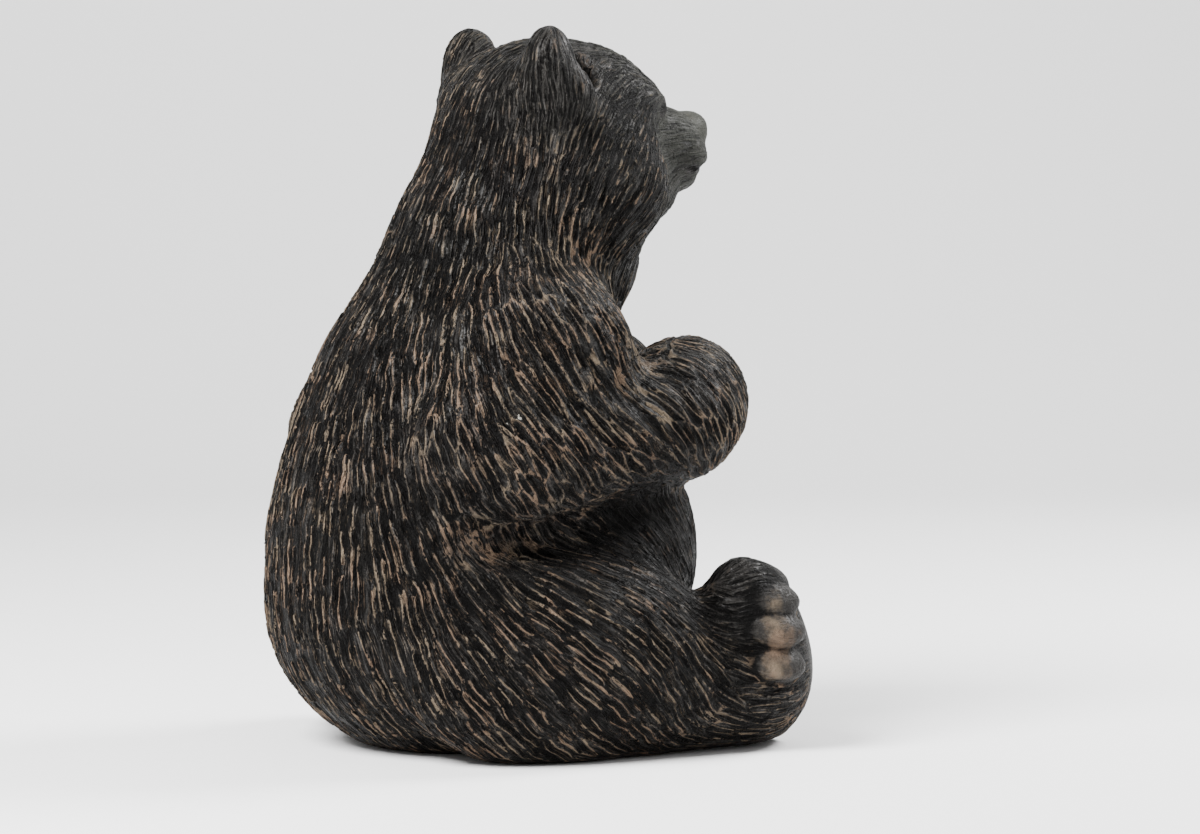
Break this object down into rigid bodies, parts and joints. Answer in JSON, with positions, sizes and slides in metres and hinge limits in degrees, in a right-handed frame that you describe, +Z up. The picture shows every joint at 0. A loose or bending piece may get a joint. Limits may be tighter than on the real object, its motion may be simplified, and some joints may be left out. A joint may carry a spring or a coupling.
{
  "type": "bear cub statue",
  "caption": "Seated bear cub garden statue in dark cast concrete, looking up with its paws held together on its chest.",
  "frame": {"origin": "middle of the outline, on the ground", "axes": "+Z up; the cub faces -Y, and its own right side is towards -X"},
  "size_m": [0.2642, 0.2854, 0.4],
  "materials": {
    "concrete": "near-black stained cast concrete with tan dry-brushed ridges and a grey-green cast on the head"
  },
  "bodies": {
    "root": {"bear_cub": "concrete"}
  },
  "joints": []
}
